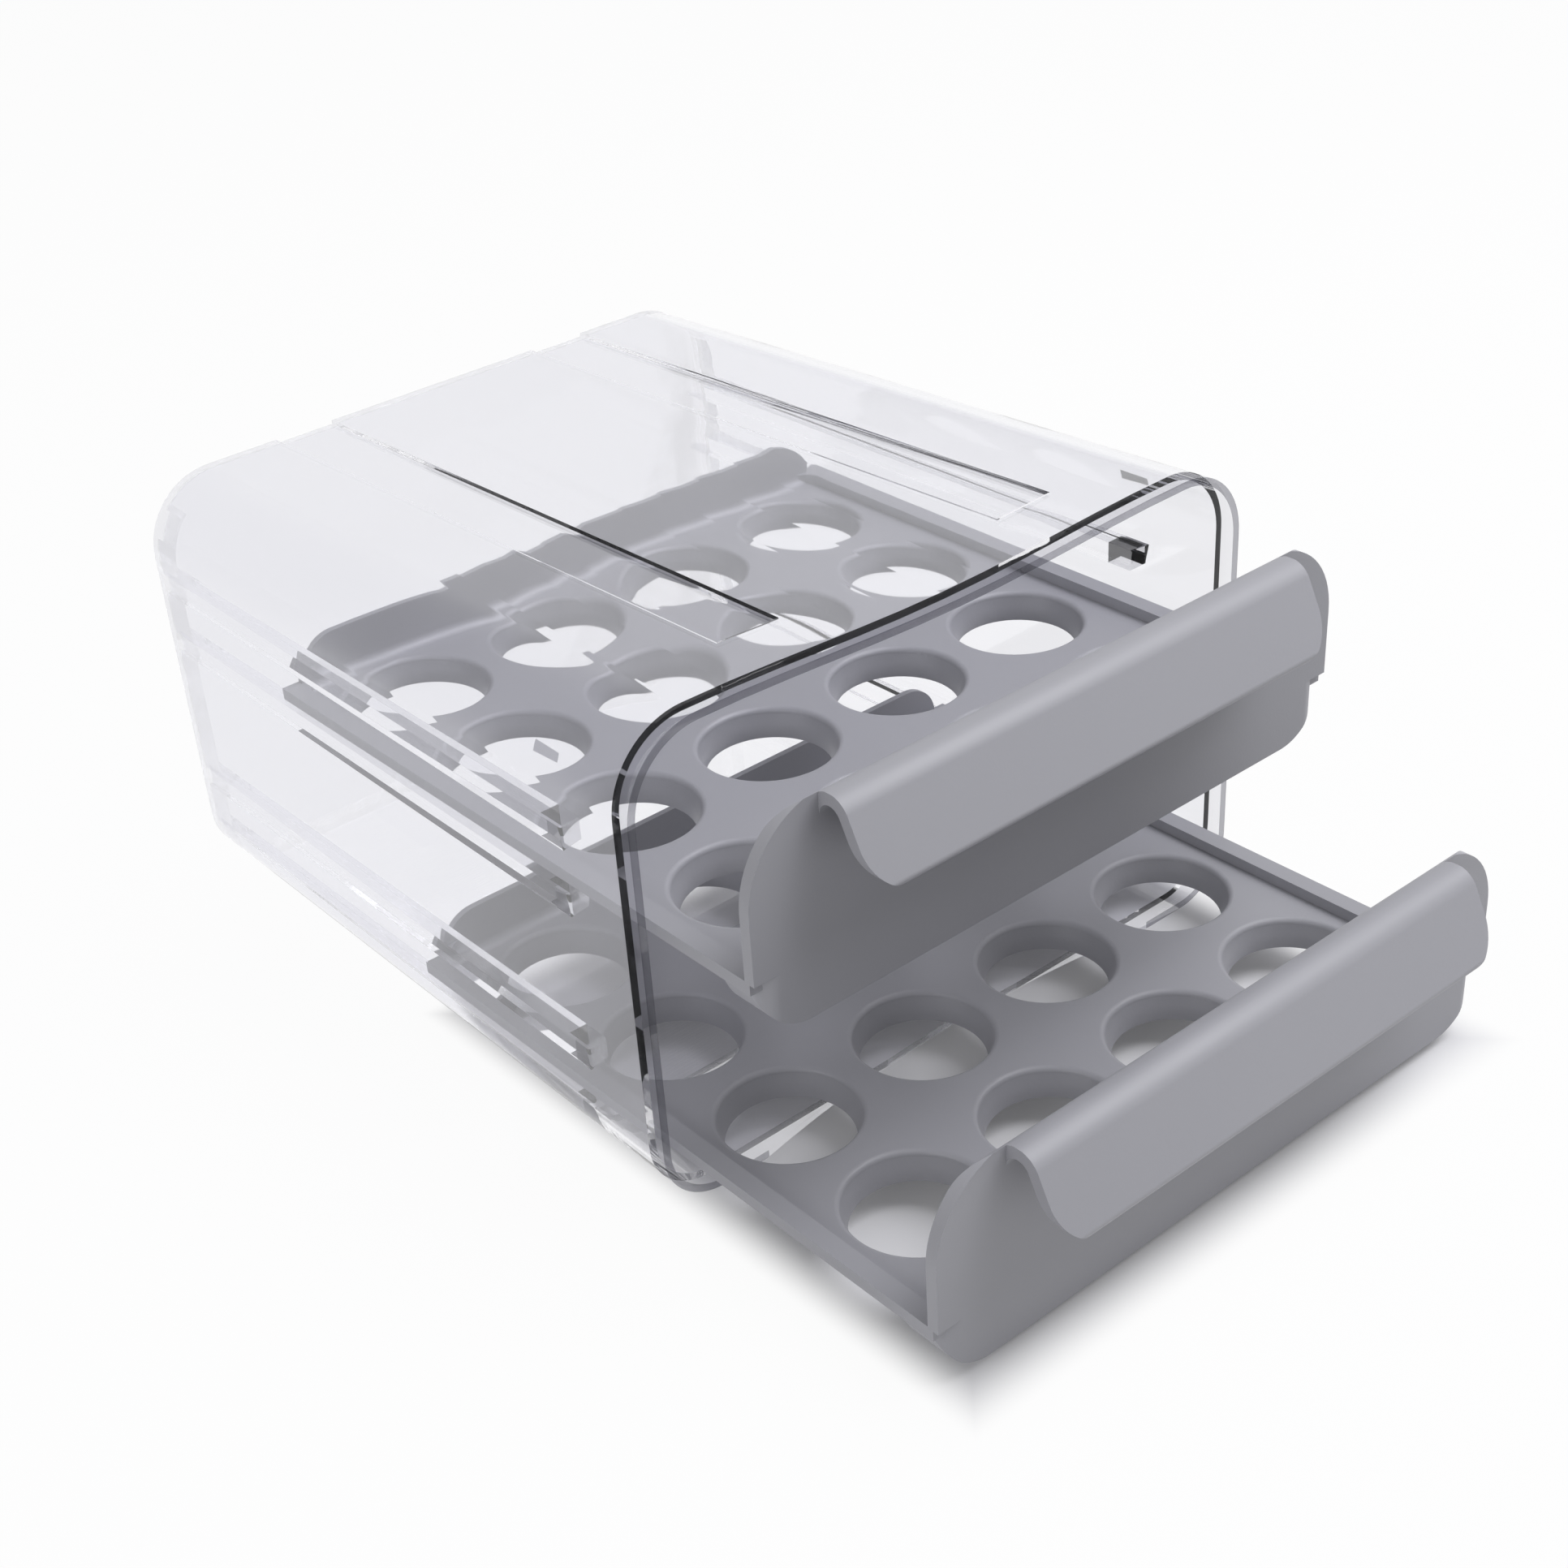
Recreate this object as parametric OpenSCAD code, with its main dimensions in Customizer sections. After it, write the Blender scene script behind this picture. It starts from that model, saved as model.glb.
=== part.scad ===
// Two-tier egg keeper: a clear case, open at the front, with two egg drawers that slide on its ledges.
// Origin: centre of the case's underside. X is to the right, Y to the rear and Z up, in millimetres.

/* [Case] */
// Width of the case at its open front
case_w = 216; // [206:1:226]
// Height of the case at its open front
case_h = 140.5; // [139:0.5:156]
// Depth of the case from its front edge to its rear face
case_d = 239; // [232:1:260]
// How much narrower the case is at its rear face
case_taper_w = 5; // [2:0.5:6]
// How much lower the case is at its rear face
case_taper_h = 7.5; // [4:0.5:12]
// Wall thickness of the case
case_wall = 2.2; // [1.8:0.1:2.8]
// Outer radius of the case's two upper corners
case_top_r = 23; // [16:1:28]
// Outer radius of the case's two lower corners
case_foot_r = 19; // [14:1:22]
// How far the top wall dips in the middle of the open front
case_top_dip = 3; // [0.5:0.5:4]
// How far the floor's front edge is scooped back in the middle
floor_scoop = 7; // [3:1:14]
// Width of the floor's scooped front edge
floor_scoop_w = 150; // [110:1:160]

/* [Grooves in the top] */
// Width of each groove
groove_w = 20; // [12:1:26]
// Depth of each groove
groove_depth = 1.2; // [0.6:0.1:1.4]
// Distance of each groove's middle from the case's middle
groove_x = 48.5; // [36:0.5:56]
// Distance of the grooves' front ends from the case's front edge
groove_start = 25; // [15:1:60]

/* [Ledges in the case] */
// Height of each ledge
ledge_h = 6.5; // [4:0.5:7]
// How far a drawer's rim lies over the ledge under it
ledge_lap = 3.5; // [2.5:0.25:3.75]
// Distance of the ledges' front ends from the case's front edge
ledge_start = 31; // [26:1:40]
// Free height between a drawer's rim and the ledge over it
ledge_free = 9.5; // [5:0.5:11]

/* [Drawers] */
// Height of the lower drawer's deck above the ground
lower_deck_z = 17.6; // [17:0.1:21]
// Height from one deck to the next
tier_pitch = 68; // [64:0.5:74]
// How far the upper drawer is pulled out
upper_pull = 47.5; // [0:0.5:140]
// How far the lower drawer is pulled out
lower_pull = 105.5; // [0:0.5:140]
// Gap between a drawer's rim and the case wall at the rear, each side
rim_gap = 0.8; // [0.5:0.1:1.2]
// Gap between a drawer's rim and the ledge under it
ride_gap = 0.2; // [0.1:0.05:0.3]
// Thickness of the deck
deck_t = 2; // [1.6:0.1:2.6]
// Distance from the front panel to the first row of egg holes
front_space = 35.5; // [26:0.5:44]
// Distance from the last row of egg holes to the rear face
rear_space = 26.2; // [24:0.1:34]

/* [Egg holes] */
// Number of egg holes across
holes_across = 4; // [2:1:4]
// Number of rows of egg holes
holes_deep = 4; // [2:1:4]
// Distance between neighbouring egg holes
hole_pitch = 48; // [46:0.5:49]
// Radius of an egg hole
hole_r = 19; // [17:0.25:20]
// Radius of the soft edge round an egg hole
hole_edge_r = 1.8; // [0.8:0.1:1.9]
// Depth of the collar under an egg hole
collar_depth = 8.5; // [6:0.5:10]
// How much narrower an egg hole is at its lower end, in radius
collar_draft = 1.5; // [0.5:0.1:2]
// Height of the straight land at an egg hole's lower end
collar_land = 2; // [1:0.25:3]
// Wall thickness of a collar
collar_wall = 1.6; // [1.2:0.1:2]

/* [Drawer rim] */
// Width of the rim along each side
rim_w = 5.5; // [4.5:0.25:6.5]
// Height of the rim's top above the deck
rim_h = 3.4; // [2:0.1:4]
// Thickness of the rim
rim_t = 3.6; // [2.6:0.1:3.8]
// Inner corner radius of the rim
rim_corner_r = 6; // [3:0.5:10]
// Height of the rear wall above the deck
rear_wall_h = 15; // [8:0.5:18]
// Thickness of the rear wall
rear_wall_t = 2; // [1.6:0.1:3]
// Radius of the rear wall's upper corners
rear_corner_r = 12; // [4:0.5:14]
// Radius of the fillets where the deck meets its end walls
fillet_r = 3; // [1:0.5:5]

/* [Drawer front] */
// Thickness of the front panel
panel_t = 3.4; // [2.6:0.1:4]
// Gap between the front panel and the case wall, each side
panel_gap = 3.1; // [1.2:0.1:3.6]
// Height of the panel's crest above the deck
crest_h = 47; // [40:0.5:48]
// Radius of the panel's upper corners
panel_corner_r = 25; // [12:1:28]
// Middle radius of the bend that carries the lip over the crest
lip_bend_r = 5.3; // [4:0.1:7]
// How far the handle lip leans forward from upright, in degrees
lip_lean = 26.5; // [10:0.5:35]
// Height of the lip's lower edge above the deck
lip_edge_h = 24.5; // [18:0.5:28]
// How far each end of the lip is set in from the panel's end
lip_inset = 22.5; // [14:0.5:28]
// Radius of the lip's lower corners
lip_corner_r = 12; // [6:0.5:14]
// How far each side of the apron is set in from the panel's end
apron_inset = 2; // [1:0.25:4]
// Height of the apron below the deck
apron_drop = 14.2; // [10:0.1:14.4]
// Radius of the apron's lower corners
apron_corner_r = 15; // [9:0.5:15]
// Radius of the apron's front corners, seen from above
apron_plan_r = 6; // [3:0.5:8]
// Thickness of the apron's side returns
return_t = 2.5; // [2:0.1:3]
// How far the side returns run back from the panel
return_run = 15.5; // [12:0.5:17]
// Radius of the two curves at a side return's rear end
return_r = 5; // [3:0.5:5.5]
// Gap between the side returns and the ledges with the drawer shut
shut_gap = 0.5; // [0.3:0.1:1]

/* [Hidden] */
$fn = 72;

// Depth at which a cut passes a surface, so that the two don't coincide
cut = 1;
// How far the panel's wide part reaches below the rim's top, to join it
panel_join = 0.4;
// How much the lip lies inside its bend's faces, so that the two cross and don't just touch
lip_slip = 0.02;
// How far the bend runs on inside the lip, in degrees
bend_overrun = 8;
// Straight steps in each corner arc of the case
arc_steps = 16;
// Straight steps across the case's dipped top wall
dip_steps = 12;

front_y = -case_d / 2;
// The case's inner half-width at its rear wall
rear_half_w = (case_w - case_taper_w) / 2 - case_wall;

flange_half_w = rear_half_w - rim_gap;
deck_half_w = flange_half_w - rim_w;
ledge_half_w = flange_half_w - ledge_lap;
// Underside of the rim and top of the ledge, from the deck
flange_z = rim_h - rim_t;
ledge_z = flange_z - ride_gap;
// Rear face of a shut drawer's panel, from the case's front edge
shut_y = ledge_start - return_run - shut_gap;
drawer_len = front_space + (holes_deep - 1) * hole_pitch + rear_space;

// The case's inner half-width where a shut drawer's panel stands
mouth_half_w = case_w / 2 - case_taper_w / 2 * shut_y / case_d - case_wall;
panel_half_w = mouth_half_w - panel_gap;
lip_half_w = panel_half_w - lip_inset;
apron_half_w = panel_half_w - apron_inset;
// Centre of the bend over the crest, from the panel's rear face and the deck
bend_y = -panel_t / 2 - lip_bend_r;
bend_z = crest_h - panel_t / 2 - lip_bend_r;
lip_half_t = panel_t / 2 - lip_slip;
// Length of the lip from its bend to the middle of its rounded lower edge
lip_len = (bend_z + lip_bend_r * sin(lip_lean) - lip_edge_h - panel_t / 2) / cos(lip_lean);
// Foremost point of the lip, from the panel's rear face
lip_front_y = bend_y - lip_bend_r * cos(lip_lean) - lip_len * sin(lip_lean) - panel_t / 2;
// Height of the apron's hidden upper end, inside the panel
apron_top = rim_h + panel_t / 2;

upper_deck_z = lower_deck_z + tier_pitch;

// Points of an arc, seen with x to the right and y up
function arc(cx, cy, r, from, to) =
    [for (i = [0 : arc_steps]) let (a = from + (to - from) * i / arc_steps) [cx + r * cos(a), cy + r * sin(a)]];

// Share of the dip at a distance x from the middle, level at both of its ends
function dip_at(x, half) = (1 + cos(180 * x / half)) / 2;

// Outline of the case's section, drawn in by inset, t of the way from front to rear
function ring(t, inset) =
    let (
        half = (case_w - case_taper_w * t) / 2 - inset,
        top = case_h - case_taper_h * t - inset,
        rt = case_top_r - inset,
        rf = case_foot_r - inset,
        flat = half - rt,
        dip = case_top_dip * (1 - t)
    )
    concat(
        arc(half - rf, inset + rf, rf, -90, 0),
        arc(half - rt, top - rt, rt, 0, 90),
        [for (i = [1 : dip_steps - 1]) let (x = flat * (1 - 2 * i / dip_steps)) [x, top - dip * dip_at(x, flat)]],
        arc(rt - half, top - rt, rt, 90, 180),
        arc(rf - half, inset + rf, rf, 180, 270)
    );

// Solid between two sections of the case, t0 and t1 of the way from front to rear.
// Each end is a fan of triangles round a point in its middle.
module loft(t0, t1, inset) {
    near = ring(t0, inset);
    far = ring(t1, inset);
    n = len(near);
    y0 = front_y + case_d * t0;
    y1 = front_y + case_d * t1;
    polyhedron(
        points = concat(
            [for (p = near) [p[0], y0, p[1]]],
            [for (p = far) [p[0], y1, p[1]]],
            [[0, y0, case_h / 2], [0, y1, case_h / 2]]
        ),
        faces = concat(
            [for (i = [0 : n - 1]) [(i + 1) % n, i, 2 * n]],
            [for (i = [0 : n - 1]) [n + i, n + (i + 1) % n, 2 * n + 1]],
            [for (i = [0 : n - 1]) [n + i, i, (i + 1) % n]],
            [for (i = [0 : n - 1]) [n + i, (i + 1) % n, n + (i + 1) % n]]
        )
    );
}

// Box with its low corner and size
module block(low, size) {
    translate(low)
        cube(size);
}

// The same shape on both sides of the middle
module both_sides() {
    children();
    mirror([1, 0, 0])
        children();
}

// Profile in the Y-Z plane, drawn as x and y, run across the part by a half-width each way
module across(half) {
    rotate([90, 0, 90])
        linear_extrude(2 * half, center = true)
            children();
}

// Outline in the X-Z plane, drawn as x and y, run from y0 to y1
module along(y0, y1) {
    translate([0, y1, 0])
        rotate([90, 0, 0])
            linear_extrude(y1 - y0)
                children();
}

// Ledge on the right wall whose top is at z
module ledge(z) {
    block([ledge_half_w, front_y + ledge_start, z - ledge_h], [case_w / 2, case_d, ledge_h]);
}

// The ledge under a drawer's rim and the one over it
module ledge_pair(deck_z) {
    ledge(deck_z + ledge_z);
    ledge(deck_z + rim_h + ledge_free + ledge_h);
}

// Long box that marks out one groove in the top
module groove_zone() {
    block(
        [groove_x - groove_w / 2, front_y + groove_start, case_h / 2],
        [groove_w, case_d, case_h]
    );
}

// Radius of the arc through the scooped front edge of the floor
scoop_r = (pow(floor_scoop_w / 2, 2) + pow(floor_scoop, 2)) / (2 * floor_scoop);

module case() {
    color([0.9, 0.92, 0.95, 0.35])
    difference() {
        loft(0, 1, 0);
        difference() {
            loft(-cut / case_d, 1 - case_wall / case_d, case_wall);
            both_sides() {
                ledge_pair(lower_deck_z);
                ledge_pair(upper_deck_z);
            }
        }
        difference() {
            both_sides()
                groove_zone();
            loft(-2 * cut / case_d, 1 + 2 * cut / case_d, groove_depth);
        }
        translate([0, front_y + floor_scoop - scoop_r, -cut])
            cylinder(r = scoop_r, h = case_wall + 2 * cut, $fn = 240);
    }
}

// Bore of one egg hole with its soft upper edge, from the deck's top
module egg_bore() {
    rotate_extrude()
        difference() {
            polygon([
                [0, cut],
                [hole_r + hole_edge_r, cut],
                [hole_r + hole_edge_r, 0],
                [hole_r + hole_edge_r, -hole_edge_r],
                [hole_r, -hole_edge_r],
                [hole_r - collar_draft, collar_land - collar_depth],
                [hole_r - collar_draft, -collar_depth - cut],
                [0, -collar_depth - cut]
            ]);
            translate([hole_r + hole_edge_r, -hole_edge_r])
                circle(hole_edge_r);
        }
}

// Outside of the collar under one egg hole
module collar() {
    translate([0, 0, -collar_depth])
        cylinder(
            r1 = hole_r - collar_draft + collar_wall,
            r2 = hole_r + collar_wall,
            h = collar_depth - deck_t / 2
        );
}

// What is given to it, at every egg hole
module at_holes() {
    for (i = [0 : holes_across - 1], j = [0 : holes_deep - 1])
        translate([(i - (holes_across - 1) / 2) * hole_pitch, front_space + j * hole_pitch, 0])
            children();
}

// Rectangle with two rounded upper corners
module arched(half, low, top, r) {
    translate([-half, low])
        square([2 * half, top - r - low]);
    translate([r - half, low])
        square([2 * (half - r), top - low]);
    for (side = [-1, 1])
        translate([side * (half - r), top - r])
            circle(r);
}

// Rectangle with two rounded lower corners
module cupped(half, low, top, r) {
    mirror([0, 1])
        arched(half, -top, -low, r);
}

// Rectangle in plan with four rounded corners
module rounded_plan(half, y0, y1, r) {
    translate([-half, y0 + r])
        square([2 * half, y1 - y0 - 2 * r]);
    translate([r - half, y0])
        square([2 * (half - r), y1 - y0]);
    for (side = [-1, 1], y = [y0 + r, y1 - r])
        translate([side * (half - r), y])
            circle(r);
}

// Concave fillet in the corner at x, y that opens towards side
module fillet(x, y, side) {
    difference() {
        translate([side > 0 ? x : x - fillet_r, y])
            square(fillet_r);
        translate([x + side * fillet_r, y + fillet_r])
            circle(fillet_r);
    }
}

// Deck with its rear wall and fillets, from the side
module deck_profile() {
    translate([-panel_t / 2, -deck_t])
        square([drawer_len + panel_t / 2, deck_t]);
    translate([drawer_len - rear_wall_t, -deck_t])
        square([rear_wall_t, deck_t + rear_wall_h]);
    fillet(0, 0, 1);
    fillet(drawer_len - rear_wall_t, 0, -1);
}

// Room for the upright panel, from the side, with its rear edge rounded over by the bend
module crest_profile() {
    translate([bend_y, 0])
        square([-bend_y, bend_z]);
    translate([bend_y, bend_z])
        circle(lip_bend_r + panel_t / 2);
}

// Bend over the crest and the lip that leans forward from it, from the side
module lip_profile() {
    span = 4 * lip_bend_r;
    translate([bend_y, bend_z]) {
        difference() {
            circle(lip_bend_r + panel_t / 2);
            circle(lip_bend_r - panel_t / 2);
            translate([-span, -span])
                square([2 * span, span]);
            rotate(bend_overrun - lip_lean)
                translate([-span, -span])
                    square([span, span]);
        }
        rotate(-lip_lean)
            translate([-lip_bend_r, -lip_len]) {
                translate([-lip_half_t, 0])
                    square([2 * lip_half_t, lip_len]);
                circle(lip_half_t);
            }
    }
}

// Apron from the side: its front wall, and a return that is deep there and curves up to the rim
module return_profile() {
    back = return_run - return_r;
    translate([-panel_t, -apron_drop])
        square([panel_t, apron_drop + apron_top]);
    translate([-panel_t, -apron_drop])
        square([panel_t + back - return_r, apron_drop]);
    translate([-panel_t, return_r - apron_drop])
        square([panel_t + back, apron_drop - return_r]);
    translate([back - return_r, return_r - apron_drop])
        circle(return_r);
    difference() {
        translate([back - cut, flange_z - return_r])
            square([return_r + cut, return_r - flange_z]);
        translate([return_run, flange_z - return_r])
            circle(return_r);
    }
}

// Upright panel and its handle lip
module panel() {
    intersection() {
        along(-panel_t, cut)
            arched(panel_half_w, rim_h - panel_join, crest_h, panel_corner_r);
        across(panel_half_w + cut)
            crest_profile();
    }
    intersection() {
        across(lip_half_w)
            lip_profile();
        along(lip_front_y - cut, -panel_t / 2)
            cupped(lip_half_w, lip_edge_h, crest_h + cut, lip_corner_r);
        along(lip_front_y - cut, -panel_t / 2)
            arched(panel_half_w, 0, crest_h, panel_corner_r);
    }
}

// Apron under the panel, with its side returns
module apron() {
    intersection() {
        difference() {
            along(-panel_t, return_run)
                cupped(apron_half_w, -apron_drop, apron_top, apron_corner_r);
            along(0, return_run + cut)
                cupped(
                    apron_half_w - return_t,
                    return_t - apron_drop,
                    apron_top + cut,
                    apron_corner_r - return_t
                );
        }
        across(panel_half_w)
            return_profile();
        translate([0, 0, -apron_drop - cut])
            linear_extrude(apron_drop + apron_top + 2 * cut)
                rounded_plan(apron_half_w, -panel_t, 2 * return_run, apron_plan_r);
    }
}

// Deck with its rear wall, rim and collars, before the egg holes are cut
module deck_blank() {
    intersection() {
        across(deck_half_w)
            deck_profile();
        along(-panel_t, drawer_len)
            arched(deck_half_w, -deck_t, rear_wall_h, rear_corner_r);
    }
    difference() {
        block(
            [-flange_half_w, -panel_t / 2, flange_z],
            [2 * flange_half_w, drawer_len + panel_t / 2, rim_t]
        );
        translate([0, 0, flange_z - cut])
            linear_extrude(rim_t + 2 * cut)
                rounded_plan(deck_half_w, 0, drawer_len - rear_wall_t, rim_corner_r);
    }
    at_holes()
        collar();
}

module drawer(deck_z, pull) {
    translate([0, front_y + shut_y - pull, deck_z]) {
        panel();
        apron();
        difference() {
            deck_blank();
            at_holes()
                egg_bore();
        }
    }
}

module upper_drawer() {
    color([0.62, 0.62, 0.65])
        drawer(upper_deck_z, upper_pull);
}

module lower_drawer() {
    color([0.62, 0.62, 0.65])
        drawer(lower_deck_z, lower_pull);
}

case();
upper_drawer();
lower_drawer();
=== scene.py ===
import math

import bmesh
import bpy
from mathutils import Matrix, Vector


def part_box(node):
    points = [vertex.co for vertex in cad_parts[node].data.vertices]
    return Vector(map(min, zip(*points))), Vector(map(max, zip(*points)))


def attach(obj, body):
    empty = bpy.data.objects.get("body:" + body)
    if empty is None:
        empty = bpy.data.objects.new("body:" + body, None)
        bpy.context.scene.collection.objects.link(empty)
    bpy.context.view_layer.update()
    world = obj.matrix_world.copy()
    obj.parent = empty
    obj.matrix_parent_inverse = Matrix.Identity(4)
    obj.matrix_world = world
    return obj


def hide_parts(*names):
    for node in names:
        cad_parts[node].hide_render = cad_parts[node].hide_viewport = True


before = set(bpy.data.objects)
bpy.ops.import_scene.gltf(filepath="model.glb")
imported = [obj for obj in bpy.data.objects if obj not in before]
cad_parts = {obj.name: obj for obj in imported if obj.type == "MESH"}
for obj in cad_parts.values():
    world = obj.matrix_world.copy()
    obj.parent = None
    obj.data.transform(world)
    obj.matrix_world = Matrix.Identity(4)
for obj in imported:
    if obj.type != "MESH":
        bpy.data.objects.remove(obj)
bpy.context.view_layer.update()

photoSize = 1932  # the photo is square, in pixels

photoCamera = {
    "focalPixels": 2891.0,
    "turn": (2.010199, -0.770928, 0.327209),  # axis times angle, world to lens, with Y down and Z ahead
    "place": (-0.36866, -0.50033, 0.40558),
    "middle": (886.9, 1034.0),  # pixel that the lens axis meets
}


def makeCamera(c):
    data = bpy.data.cameras.new("photoCamera")
    data.sensor_width = 36.0
    data.lens = c["focalPixels"] / photoSize * data.sensor_width
    data.shift_x = (photoSize / 2 - c["middle"][0]) / photoSize
    data.shift_y = (c["middle"][1] - photoSize / 2) / photoSize
    data.clip_start, data.clip_end = 0.01, 20.0
    cam = bpy.data.objects.new("photoCamera", data)
    axis = Vector(c["turn"])
    worldToLens = Matrix.Rotation(axis.length, 3, axis.normalized())
    flip = Matrix(((1, 0, 0), (0, -1, 0), (0, 0, -1)))
    cam.matrix_world = Matrix.Translation(c["place"]) @ (worldToLens.transposed() @ flip).to_4x4()
    bpy.context.collection.objects.link(cam)
    bpy.context.scene.camera = cam


makeCamera(photoCamera)
print("camera placed")


def newMaterial(name):
    mat = bpy.data.materials.new(name)
    mat.use_nodes = True
    return mat, mat.node_tree.nodes, mat.node_tree.links


def newMath(nodes, operation, value=None):
    node = nodes.new("ShaderNodeMath")
    node.operation = operation
    if value is not None:
        node.inputs[1].default_value = value
    return node


def soften(bm, radius, segments, chosen=lambda e: True, minAngle=30.0):
    corners = [e for e in bm.edges
               if e.is_manifold and e.calc_face_angle(0) > math.radians(minAngle) and chosen(e)]
    bmesh.ops.bevel(bm, geom=corners, offset=radius, offset_type="OFFSET", affect="EDGES",
                    segments=segments, profile=0.5, material=-1, clamp_overlap=True)


def softCopy(node, name, radius, segments, first=()):
    bm = bmesh.new()  # the CAD mesh is loose triangles: merged first, then its flat faces made whole
    bm.from_mesh(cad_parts[node].data)
    bmesh.ops.remove_doubles(bm, verts=bm.verts, dist=0.00001)
    bmesh.ops.dissolve_limit(bm, angle_limit=math.radians(0.3), verts=bm.verts, edges=bm.edges)
    for widerRadius, widerSegments, chosen in first:
        soften(bm, widerRadius, widerSegments, chosen)
    soften(bm, radius, segments)
    mesh = bpy.data.meshes.new(name)
    bm.to_mesh(mesh)
    print(name, "made with", len(bm.faces), "faces")
    bm.free()
    mesh.shade_smooth()
    mesh.set_sharp_from_angle(angle=math.radians(28))
    piece = bpy.data.objects.new(name, mesh)
    bpy.context.collection.objects.link(piece)
    # keeps the broad faces flat beside their soft edges
    even = piece.modifiers.new("evenShading", "WEIGHTED_NORMAL")
    even.mode = "FACE_AREA"
    even.weight = 90
    even.keep_sharp = True
    return piece


# Egg drawers: one grey moulding each, with the soft edges of a moulded part

eggDrawer = {
    "edgeRadius": 0.0008,
    "edgeSteps": 3,
    "colour": (0.335, 0.335, 0.362, 1.0),
    "fadedColour": (0.355, 0.355, 0.380, 1.0),
    "fadeSize": 14.0,
    "roughness": (0.40, 0.50),
    "grainSize": 1100.0,
    "grainDepth": 0.12,
}


def satinGrey(v):
    mat, nodes, links = newMaterial("satinGreyPlastic")
    shader = nodes["Principled BSDF"]
    shader.inputs["IOR"].default_value = 1.47
    place = nodes.new("ShaderNodeTexCoord")
    cloud = nodes.new("ShaderNodeTexNoise")  # broad, faint changes of tone
    cloud.inputs["Scale"].default_value = v["fadeSize"]
    cloud.inputs["Detail"].default_value = 3.0
    tone = nodes.new("ShaderNodeMix")
    tone.data_type = "RGBA"
    tone.inputs["A"].default_value = v["colour"]
    tone.inputs["B"].default_value = v["fadedColour"]
    polish = nodes.new("ShaderNodeMapRange")
    polish.inputs["From Min"].default_value, polish.inputs["From Max"].default_value = 0.3, 0.7
    polish.inputs["To Min"].default_value, polish.inputs["To Max"].default_value = v["roughness"]
    grain = nodes.new("ShaderNodeTexNoise")  # the mould's fine matt grain
    grain.inputs["Scale"].default_value = v["grainSize"]
    grain.inputs["Detail"].default_value = 2.0
    bump = nodes.new("ShaderNodeBump")
    bump.inputs["Strength"].default_value = v["grainDepth"]
    bump.inputs["Distance"].default_value = 0.0002
    for texture in (cloud, grain):
        links.new(place.outputs["Object"], texture.inputs["Vector"])
    links.new(cloud.outputs["Fac"], tone.inputs["Factor"])
    links.new(cloud.outputs["Fac"], polish.inputs["Value"])
    links.new(tone.outputs["Result"], shader.inputs["Base Color"])
    links.new(polish.outputs["Result"], shader.inputs["Roughness"])
    links.new(grain.outputs["Fac"], bump.inputs["Height"])
    links.new(bump.outputs["Normal"], shader.inputs["Normal"])
    return mat


drawerPlastic = satinGrey(eggDrawer)
for tier in ("upper", "lower"):
    drawer = softCopy(tier + "_drawer", tier + "DrawerMoulding",
                      eggDrawer["edgeRadius"], eggDrawer["edgeSteps"])
    drawer.data.materials.clear()
    drawer.data.materials.append(drawerPlastic)
    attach(drawer, tier + "_drawer")
    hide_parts(tier + "_drawer")
lowestPiece = drawer

# Clear case: one moulding, with a slight grey tint and faint waves in its faces

caseLow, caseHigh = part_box("case")
mouthFace, backFace = caseLow[1], caseHigh[1]

clearCase = {
    "edgeRadius": 0.0005,
    "edgeSteps": 3,
    "backEdgesWithin": 0.0026,
    "ledgeEndsWithin": (0.0305, 0.0315),
    "wallMiddle": 0.1055,
    "backSteps": 5,
    "ledgeEndSteps": 4,
    "backRadius": 0.0024,
    "ledgeEndRadius": 0.0019,
    "tint": (0.912, 0.912, 0.938, 1.0),
    "roughness": 0.02,
    "ior": 1.49,
    "waveSize": 22.0,
    "waveDepth": 0.06,
    "shade": (0.95, 0.95, 0.965, 1.0),  # what its walls let through to what stands in or under it
    # at the edges: the share that is plainly transparent, and what that share lets through; on the
    # mouth's front face this is a dark grey, painted shade that draws the rim's dark edge line
    "mouthEdgeWithPaintedLine": (0.92, (0.46, 0.46, 0.485, 1.0)),
    "backEdge": (0.75, (0.94, 0.94, 0.952, 1.0)),
    "ledgeEnd": 0.80,
    "paintedLineDepth": 0.00015,
    "mouthDepth": 0.0062,
    "backDepth": 0.0030,
    "ledgeRearDepth": 0.0130,
    "ledgeFront": (0.0300, 0.0400),  # where the ledges' front ends lie, behind the mouth
    "wallInside": 0.1045,
    "topInside": 0.125,
}


def allOf(nodes, links, *tests):  # 1 where every test is 1
    total = tests[0]
    for test in tests[1:]:
        product = newMath(nodes, "MULTIPLY")
        links.new(total.outputs["Value"], product.inputs[0])
        links.new(test.outputs["Value"], product.inputs[1])
        total = product
    return total.outputs["Value"]


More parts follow.
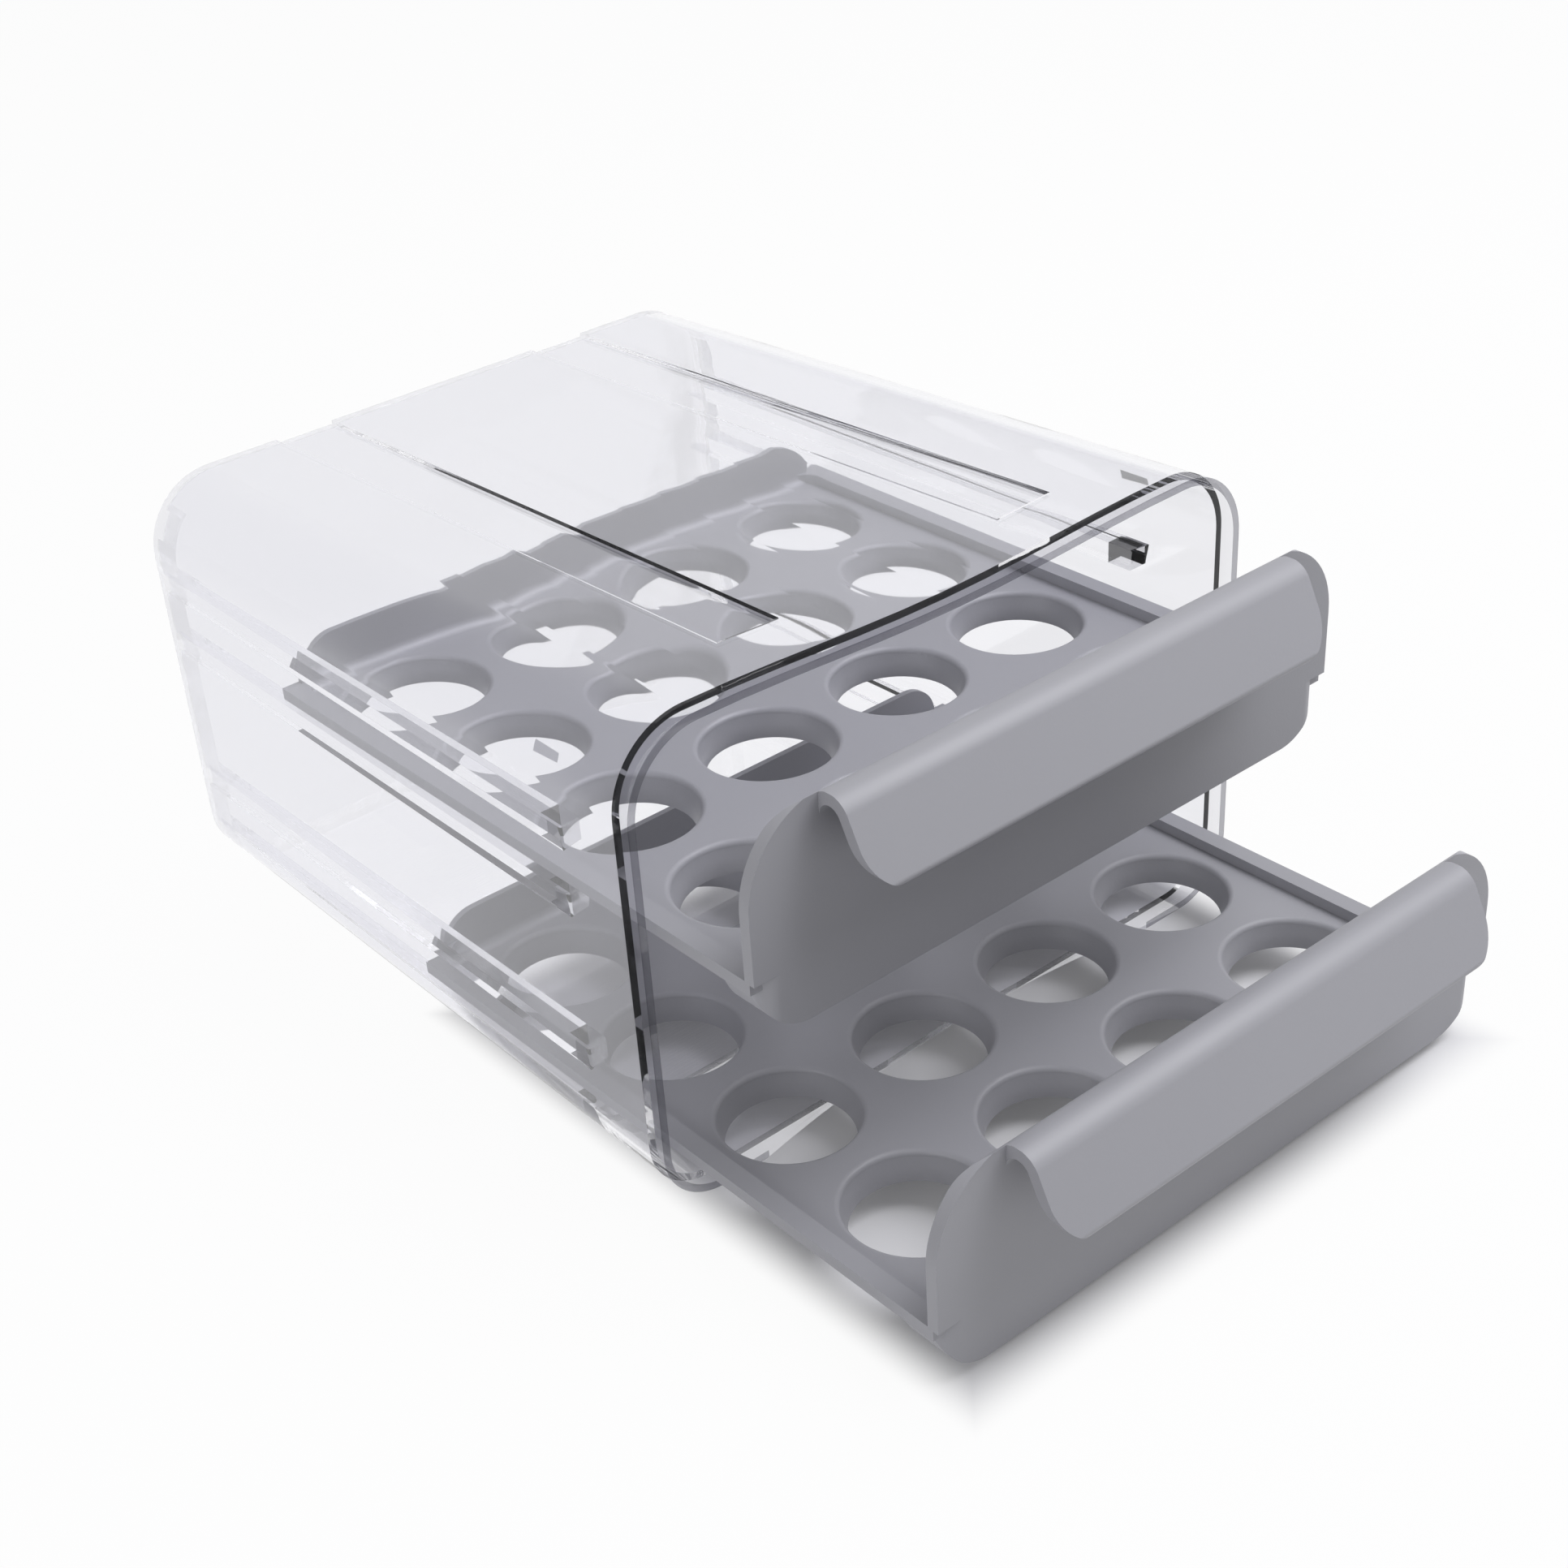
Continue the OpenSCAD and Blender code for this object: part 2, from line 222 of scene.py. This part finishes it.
def clearPlastic(v):
    mat, nodes, links = newMaterial("clearCasePlastic")
    shader = nodes["Principled BSDF"]
    shader.inputs["Base Color"].default_value = v["tint"]
    shader.inputs["Roughness"].default_value = v["roughness"]
    shader.inputs["IOR"].default_value = v["ior"]
    shader.inputs["Transmission Weight"].default_value = 1.0
    place = nodes.new("ShaderNodeTexCoord")
    wave = nodes.new("ShaderNodeTexNoise")
    wave.inputs["Scale"].default_value = v["waveSize"]
    bump = nodes.new("ShaderNodeBump")
    bump.inputs["Strength"].default_value = v["waveDepth"]
    bump.inputs["Distance"].default_value = 0.001
    links.new(place.outputs["Object"], wave.inputs["Vector"])
    links.new(wave.outputs["Fac"], bump.inputs["Height"])
    links.new(bump.outputs["Normal"], shader.inputs["Normal"])
    # thin edges show what is behind them, and not the dark inside of the wall; on the mouth's front
    # face what is behind is darkened, a painted dark edge line
    split = nodes.new("ShaderNodeSeparateXYZ")
    links.new(place.outputs["Object"], split.inputs["Vector"])
    atMouth = newMath(nodes, "LESS_THAN", mouthFace + v["mouthDepth"])
    paintedLineOnMouthFace = newMath(nodes, "LESS_THAN", mouthFace + v["paintedLineDepth"])
    atRear = newMath(nodes, "GREATER_THAN", backFace - v["backDepth"])
    nearRear = newMath(nodes, "GREATER_THAN", backFace - v["ledgeRearDepth"])
    pastLedge = newMath(nodes, "GREATER_THAN", mouthFace + v["ledgeFront"][0])
    beforeLedge = newMath(nodes, "LESS_THAN", mouthFace + v["ledgeFront"][1])
    sideways = newMath(nodes, "ABSOLUTE")
    offWall = newMath(nodes, "LESS_THAN", v["wallInside"])
    underTop = newMath(nodes, "LESS_THAN", v["topInside"])
    links.new(split.outputs["X"], sideways.inputs[0])
    links.new(sideways.outputs["Value"], offWall.inputs[0])
    links.new(split.outputs["Z"], underTop.inputs[0])
    for test in (atMouth, paintedLineOnMouthFace, atRear, nearRear, pastLedge, beforeLedge):
        links.new(split.outputs["Y"], test.inputs[0])
    ledgeEnd = newMath(nodes, "MULTIPLY", v["ledgeEnd"])
    anyEnd = newMath(nodes, "MAXIMUM")
    links.new(allOf(nodes, links, pastLedge, beforeLedge, offWall, underTop), anyEnd.inputs[0])
    links.new(allOf(nodes, links, nearRear, offWall, underTop), anyEnd.inputs[1])
    links.new(anyEnd.outputs["Value"], ledgeEnd.inputs[0])
    mouthShare = newMath(nodes, "MULTIPLY", v["mouthEdgeWithPaintedLine"][0])
    rearShare = newMath(nodes, "MULTIPLY", v["backEdge"][0])
    links.new(atMouth.outputs["Value"], mouthShare.inputs[0])
    links.new(atRear.outputs["Value"], rearShare.inputs[0])
    either, edgeShare = newMath(nodes, "MAXIMUM"), newMath(nodes, "MAXIMUM")
    links.new(mouthShare.outputs["Value"], either.inputs[0])
    links.new(rearShare.outputs["Value"], either.inputs[1])
    links.new(either.outputs["Value"], edgeShare.inputs[0])
    links.new(ledgeEnd.outputs["Value"], edgeShare.inputs[1])
    # painted dark line: the mouth's front face lets through only a dark grey, in place of the rim's
    # refraction
    edgeTintAndPaintedLine = nodes.new("ShaderNodeMix")
    edgeTintAndPaintedLine.data_type = "RGBA"
    edgeTintAndPaintedLine.inputs["A"].default_value = v["backEdge"][1]
    edgeTintAndPaintedLine.inputs["B"].default_value = v["mouthEdgeWithPaintedLine"][1]
    links.new(paintedLineOnMouthFace.outputs["Value"], edgeTintAndPaintedLine.inputs["Factor"])
    edge = nodes.new("ShaderNodeBsdfTransparent")
    links.new(edgeTintAndPaintedLine.outputs["Result"], edge.inputs["Color"])
    wall = nodes.new("ShaderNodeMixShader")
    links.new(edgeShare.outputs["Value"], wall.inputs["Fac"])
    links.new(shader.outputs["BSDF"], wall.inputs[1])
    links.new(edge.outputs["BSDF"], wall.inputs[2])
    # light reaches the drawers and the floor through the walls
    through = nodes.new("ShaderNodeBsdfTransparent")
    through.inputs["Color"].default_value = v["shade"]
    rays = nodes.new("ShaderNodeLightPath")
    unseen = newMath(nodes, "MAXIMUM")
    blend = nodes.new("ShaderNodeMixShader")
    links.new(rays.outputs["Is Shadow Ray"], unseen.inputs[0])
    links.new(rays.outputs["Is Diffuse Ray"], unseen.inputs[1])
    links.new(unseen.outputs["Value"], blend.inputs["Fac"])
    links.new(wall.outputs["Shader"], blend.inputs[1])
    links.new(through.outputs["BSDF"], blend.inputs[2])
    links.new(blend.outputs["Shader"], nodes["Material Output"].inputs["Surface"])
    return mat


def atBack(e):  # outer and inner edges round the rear wall
    return min(v.co.y for v in e.verts) > backFace - clearCase["backEdgesWithin"]


def alongLedgeEnds(e):  # corners of the ledges' front ends
    low, high = clearCase["ledgeEndsWithin"]
    ys = [v.co.y for v in e.verts]
    inside = max(abs(v.co.x) for v in e.verts) < clearCase["wallMiddle"]
    return inside and max(ys) < mouthFace + high and min(ys) > mouthFace + low


shell = softCopy("case", "clearShell", clearCase["edgeRadius"], clearCase["edgeSteps"], first=(
    (clearCase["backRadius"], clearCase["backSteps"], atBack),
    (clearCase["ledgeEndRadius"], clearCase["ledgeEndSteps"], alongLedgeEnds),
))
shell.data.materials.clear()
shell.data.materials.append(clearPlastic(clearCase))
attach(shell, "case")
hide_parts("case")
print("pieces made")

# Studio: pale floor, white surroundings, one soft lamp overhead and a dim one at the left

studio = {
    "floorHalf": 6.0,
    "floorColour": (0.74, 0.74, 0.74, 1.0),
    "floorGlow": (0.08, 0.955),  # share that shows as plain white, under the object and beside it; the low share under the object paints the floor there darker, painted shade added to the real shadow
    "shadowColour": (0.76, 0.76, 0.775, 1.0),
    "shadowMiddle": (0.0, -0.113, 0.0),  # in the lower drawer's own frame
    "shadowHalf": (0.112, 0.122),
    "shadowFade": (0.80, 0.95),  # share of the half size over which it fades out
    "sky": 0.31,
    "lamps": {
        "overheadSoftbox": {
            "power": 16.0, "size": 1.0,
            "colour": (0.965, 0.965, 1.0), "place": (0.60, -0.48, 1.22),
        },
        "leftFill": {
            "power": 4.0, "size": 0.8,
            "colour": (0.97, 0.97, 1.0), "place": (-1.25, -0.25, 0.45),
        },
    },
}


def seenRays(nodes, links):  # 1 for what the camera sees, directly or through gloss and clear walls
    rays = nodes.new("ShaderNodeLightPath")
    first, second = newMath(nodes, "MAXIMUM"), newMath(nodes, "MAXIMUM")
    links.new(rays.outputs["Is Camera Ray"], first.inputs[0])
    links.new(rays.outputs["Is Glossy Ray"], first.inputs[1])
    links.new(first.outputs["Value"], second.inputs[0])
    links.new(rays.outputs["Is Transmission Ray"], second.inputs[1])
    return second.outputs["Value"]


def whiteFloor(v, follows):
    mesh = bpy.data.meshes.new("studioFloor")
    bm = bmesh.new()
    bmesh.ops.create_grid(bm, x_segments=1, y_segments=1, size=v["floorHalf"])
    bm.to_mesh(mesh)
    bm.free()
    floor = bpy.data.objects.new("studioFloor", mesh)
    bpy.context.collection.objects.link(floor)
    mat, nodes, links = newMaterial("paleFloor")
    lit = nodes["Principled BSDF"]
    lit.inputs["Base Color"].default_value = v["floorColour"]
    lit.inputs["Roughness"].default_value = 0.9
    seenLit = nodes.new("ShaderNodeBsdfDiffuse")
    seenLit.inputs["Color"].default_value = v["shadowColour"]
    white = nodes.new("ShaderNodeEmission")
    # 0 under the middle of the lower drawer, 1 at its outline, wherever it is pulled to; inside it the
    # floor is painted darker, a painted shade patch on top of the real shadow that shows there
    place = nodes.new("ShaderNodeTexCoord")
    place.object = follows
    centred = nodes.new("ShaderNodeMapping")
    halves = (*v["shadowHalf"], 1.0)
    centred.inputs["Location"].default_value = [-m / h for m, h in zip(v["shadowMiddle"], halves)]
    centred.inputs["Scale"].default_value = [1 / v["shadowHalf"][0], 1 / v["shadowHalf"][1], 1.0]
    sideways = nodes.new("ShaderNodeVectorMath")
    sideways.operation = "ABSOLUTE"
    split = nodes.new("ShaderNodeSeparateXYZ")
    furthest = newMath(nodes, "MAXIMUM")
    glowShare = nodes.new("ShaderNodeMapRange")
    glowShare.interpolation_type = "SMOOTHSTEP"
    glowShare.inputs["From Min"].default_value = v["shadowFade"][0]
    glowShare.inputs["From Max"].default_value = v["shadowFade"][1]
    glowShare.inputs["To Min"].default_value = v["floorGlow"][0]
    glowShare.inputs["To Max"].default_value = v["floorGlow"][1]
    links.new(place.outputs["Object"], centred.inputs["Vector"])
    links.new(centred.outputs["Vector"], sideways.inputs[0])
    links.new(sideways.outputs["Vector"], split.inputs["Vector"])
    links.new(split.outputs["X"], furthest.inputs[0])
    links.new(split.outputs["Y"], furthest.inputs[1])
    links.new(furthest.outputs["Value"], glowShare.inputs["Value"])
    looks = nodes.new("ShaderNodeMixShader")
    blend = nodes.new("ShaderNodeMixShader")
    links.new(glowShare.outputs["Result"], looks.inputs["Fac"])
    links.new(seenLit.outputs["BSDF"], looks.inputs[1])
    links.new(white.outputs["Emission"], looks.inputs[2])
    links.new(seenRays(nodes, links), blend.inputs["Fac"])
    links.new(lit.outputs["BSDF"], blend.inputs[1])
    links.new(looks.outputs["Shader"], blend.inputs[2])
    links.new(blend.outputs["Shader"], nodes["Material Output"].inputs["Surface"])
    mesh.materials.append(mat)


def whiteWorld(v):
    world = bpy.data.worlds.new("studioWorld")
    bpy.context.scene.world = world
    world.use_nodes = True
    nodes, links = world.node_tree.nodes, world.node_tree.links
    level = nodes.new("ShaderNodeMapRange")
    level.inputs["To Min"].default_value = v["sky"]
    level.inputs["To Max"].default_value = 1.0
    links.new(seenRays(nodes, links), level.inputs["Value"])
    nodes["Background"].inputs["Color"].default_value = (1, 1, 1, 1)
    links.new(level.outputs["Result"], nodes["Background"].inputs["Strength"])


def softLamp(name, v):
    data = bpy.data.lights.new(name, "AREA")
    data.energy = v["power"]
    data.size = v["size"]
    data.color = v["colour"]
    lamp = bpy.data.objects.new(name, data)
    lamp.location = v["place"]
    toObject = Vector((0.0, 0.0, 0.07)) - lamp.location
    lamp.rotation_euler = toObject.to_track_quat("-Z", "Y").to_euler()
    bpy.context.collection.objects.link(lamp)


whiteFloor(studio, lowestPiece)
whiteWorld(studio)
for lampName, lampValues in studio["lamps"].items():
    softLamp(lampName, lampValues)
scene = bpy.context.scene
scene.view_settings.view_transform = "Standard"
scene.cycles.max_bounces = 24  # light passes many faces of the clear case before it leaves
scene.cycles.transmission_bounces = 24
scene.cycles.glossy_bounces = 10
print("studio lit")
